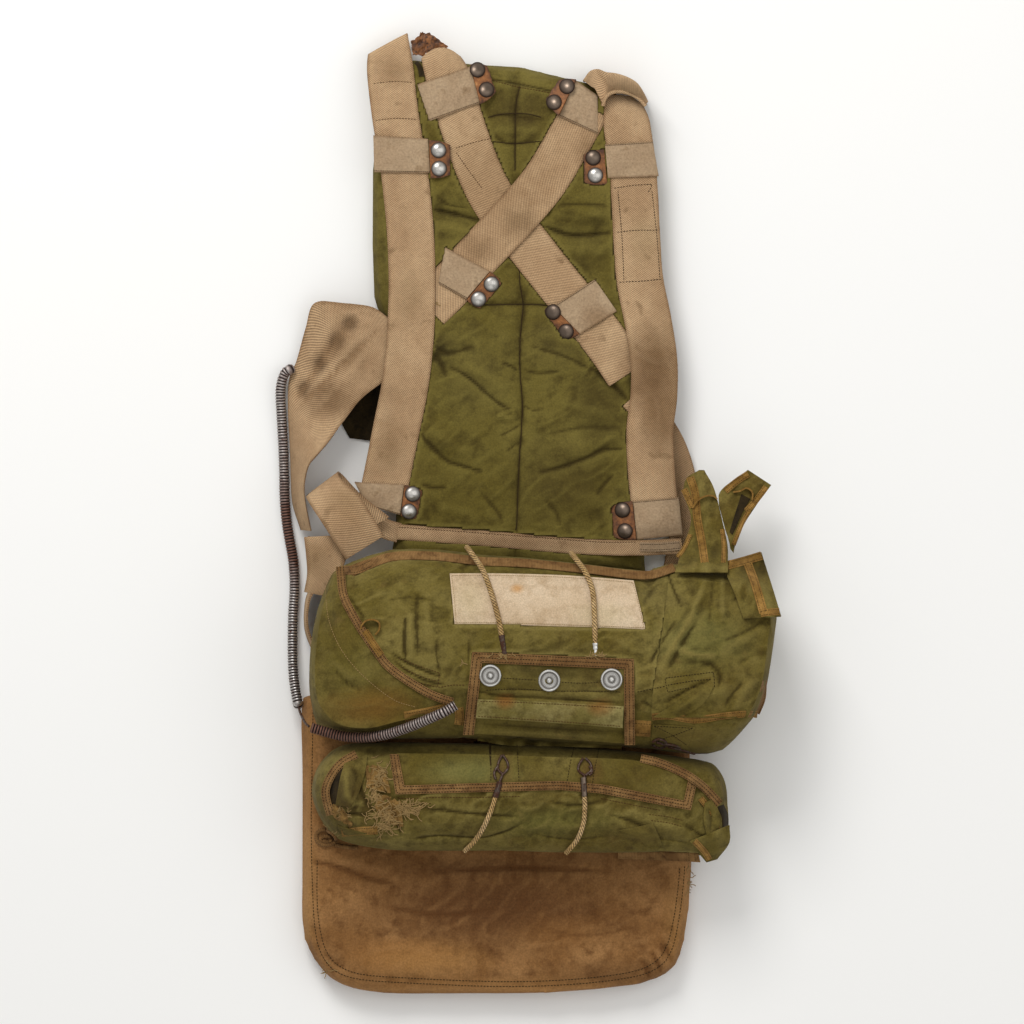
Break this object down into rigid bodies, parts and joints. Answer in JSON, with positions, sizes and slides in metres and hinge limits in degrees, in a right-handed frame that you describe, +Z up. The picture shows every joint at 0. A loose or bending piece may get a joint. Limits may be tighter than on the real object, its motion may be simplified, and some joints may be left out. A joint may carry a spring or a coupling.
{
  "type": "packed seat parachute with harness and quilted back pad",
  "caption": "Packed seat parachute lying on its back: green bound pack, webbing harness, quilted back pad and brown seat cushion.",
  "frame": {"origin": "on the surface it lies on, under the middle of its bounding box", "axes": "+Z up from the surface, +Y along the harness towards the shoulder straps, +X to the right"},
  "size_m": [0.5065, 0.9571, 0.1456],
  "materials": {
    "pad_cloth": "quilted cotton cloth, matt",
    "cushion_canvas": "heavy cotton canvas, mottled and worn",
    "webbing": "woven cotton webbing, soiled",
    "keeper_cloth": "plain cotton webbing, soiled",
    "leather": "worn russet leather",
    "pack_canvas": "cotton duck, faded",
    "tape": "cotton binding tape, stitched",
    "patch_cloth": "bare cotton cloth, stained",
    "nickel": "nickel-plated brass, scratched",
    "steel": "rusted steel",
    "hose_steel": "wound steel hose with rust bands",
    "elastic": "cotton-covered rubber cord"
  },
  "bodies": {
    "root": {"back_pad": "pad_cloth", "seat_cushion": "cushion_canvas", "strap_behind": "webbing", "cross_strap_left": "webbing", "cross_strap_right": "webbing", "shoulder_strap_left": "webbing", "shoulder_strap_right": "webbing", "waist_belt": "webbing", "side_band": "webbing", "side_band_back": "webbing", "side_loop": "webbing", "hip_loop": "webbing", "shoulder_cap": "webbing", "keeper_top_left": "keeper_cloth", "keeper_top_right": "keeper_cloth", "keeper_middle_left": "keeper_cloth", "keeper_middle_right": "keeper_cloth", "keeper_side_left": "keeper_cloth", "keeper_side_right": "keeper_cloth", "keeper_low_left": "keeper_cloth", "keeper_low_right": "keeper_cloth", "tab_top_left": "leather", "tab_top_right": "leather", "tab_middle_left": "leather", "tab_middle_right": "leather", "tab_side_left": "leather", "tab_side_right": "leather", "tab_low_left": "leather", "tab_low_right": "leather", "pack_upper": "pack_canvas", "pack_lower": "pack_canvas", "left_end_flap": "pack_canvas", "right_end_flap": "pack_canvas", "ear_left": "pack_canvas", "ear_middle": "pack_canvas", "ear_right": "pack_canvas", "corner_flap": "pack_canvas", "closure_flap": "pack_canvas", "closure_strip": "pack_canvas", "pocket_flap": "pack_canvas", "pack_top_tape": "tape", "left_flap_tape": "tape", "pocket_tape": "tape", "lower_left_tape": "tape", "lower_right_tape": "tape", "closure_tape": "tape", "hem_strip": "tape", "cloth_patch": "patch_cloth", "closure_stud_1": "nickel", "closure_stud_2": "nickel", "closure_stud_3": "nickel", "hook_lower_left": "steel", "hook_lower_right": "steel", "elastic_upper_left": "elastic", "elastic_upper_right": "elastic", "elastic_lower_left": "elastic", "elastic_lower_right": "elastic", "side_hose": "hose_steel", "front_hose": "hose_steel", "ripcord_cable": "steel"}
  },
  "joints": []
}
